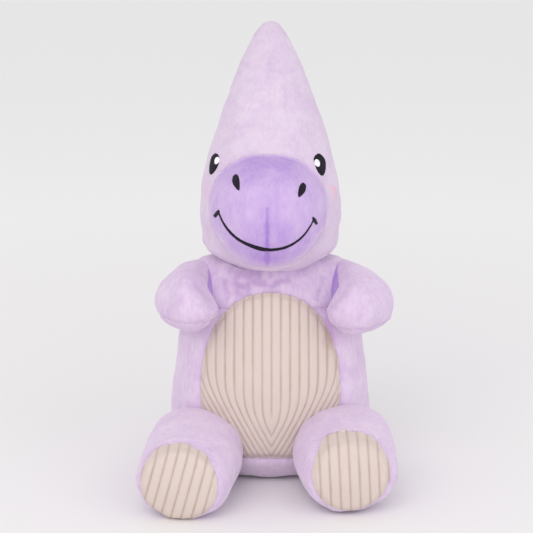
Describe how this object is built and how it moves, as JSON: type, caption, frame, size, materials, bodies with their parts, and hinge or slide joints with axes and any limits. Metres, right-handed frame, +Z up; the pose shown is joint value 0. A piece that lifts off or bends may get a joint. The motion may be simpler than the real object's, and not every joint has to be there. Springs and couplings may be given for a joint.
{
  "type": "stuffed dinosaur toy",
  "caption": "Seated stuffed dinosaur with a tall pointed crest, a round contrast muzzle, a ribbed belly panel and soles, and soft limbs that bend where they are sewn on.",
  "frame": {"origin": "on the ground under the middle of the footprint", "axes": "+Z up, the toy faces -Y, +X towards a viewer's right hand"},
  "size_m": [0.1954, 0.2744, 0.3581],
  "materials": {
    "crest_plush": "short pile fabric, palest lilac",
    "body_plush": "short pile fabric, lilac",
    "muzzle_plush": "short pile fabric, violet",
    "corduroy": "wide wale corduroy, beige",
    "black_thread": "satin stitch",
    "white_thread": "satin stitch",
    "pink_thread": "satin stitch",
    "polyester_fibre": "loose fibre",
    "pouch_cloth": "plain woven"
  },
  "bodies": {
    "torso": {"belly_panel": "corduroy", "chest_yoke": "body_plush", "left_flank_panel": "body_plush", "right_flank_panel": "body_plush", "left_back_panel": "body_plush", "right_back_panel": "body_plush", "seat_panel": "body_plush", "torso_stuffing": "polyester_fibre", "seat_pellet_pouch": "pouch_cloth"},
    "neck": {"neck_stuffing": "polyester_fibre"},
    "head": {"face_panel": "crest_plush", "left_crest_panel": "crest_plush", "right_crest_panel": "crest_plush", "muzzle_panel": "muzzle_plush", "head_stuffing": "polyester_fibre", "left_eye": "black_thread", "right_eye": "black_thread", "left_eye_glint": "white_thread", "right_eye_glint": "white_thread", "left_nostril": "black_thread", "right_nostril": "black_thread", "smile": "black_thread", "left_blush": "pink_thread", "right_blush": "pink_thread"},
    "left_arm": {"left_arm_panel": "body_plush", "left_hand_panel": "body_plush", "left_underarm_gusset": "muzzle_plush", "left_arm_stuffing": "polyester_fibre"},
    "left_leg": {"left_leg_panel": "body_plush", "left_sole": "corduroy", "left_leg_stuffing": "polyester_fibre"},
    "right_arm": {"right_arm_panel": "body_plush", "right_hand_panel": "body_plush", "right_underarm_gusset": "muzzle_plush", "right_arm_stuffing": "polyester_fibre"},
    "right_leg": {"right_leg_panel": "body_plush", "right_sole": "corduroy", "right_leg_stuffing": "polyester_fibre"},
    "tail": {"left_tail_panel": "body_plush", "right_tail_panel": "body_plush", "tail_stuffing": "polyester_fibre"}
  },
  "joints": [
    {"name": "neck_turn", "type": "hinge", "parent": "torso", "child": "neck", "pos_m": [0.00328, 0.00227, 0.16], "axis": [0, 0, 1], "range_deg": [-22, 22], "stiffness_Nm_per_rad": 0.3},
    {"name": "neck_nod", "type": "hinge", "parent": "neck", "child": "head", "pos_m": [0.00328, 0.00227, 0.173], "axis": [1, 0, 0], "range_deg": [-12, 6], "stiffness_Nm_per_rad": 1.2},
    {"name": "left_shoulder", "type": "hinge", "parent": "torso", "child": "left_arm", "pos_m": [-0.04272, 0.00027, 0.151], "axis": [0, 0, -1], "range_deg": [-8, 34], "stiffness_Nm_per_rad": 0.06},
    {"name": "left_hip", "type": "hinge", "parent": "torso", "child": "left_leg", "pos_m": [-0.04672, -0.03373, 0.026], "axis": [-1, 0, 0], "range_deg": [-8, 20], "stiffness_Nm_per_rad": 0.6},
    {"name": "right_shoulder", "type": "hinge", "parent": "torso", "child": "right_arm", "pos_m": [0.04928, 0.00027, 0.151], "axis": [0, 0, 1], "range_deg": [-8, 34], "stiffness_Nm_per_rad": 0.06},
    {"name": "right_hip", "type": "hinge", "parent": "torso", "child": "right_leg", "pos_m": [0.05228, -0.03173, 0.028], "axis": [-1, 0, 0], "range_deg": [-8, 20], "stiffness_Nm_per_rad": 0.6},
    {"name": "tail_sway", "type": "hinge", "parent": "torso", "child": "tail", "pos_m": [0.00328, 0.05627, 0.027], "axis": [0, 0, 1], "range_deg": [-18, 18], "stiffness_Nm_per_rad": 0.08}
  ]
}
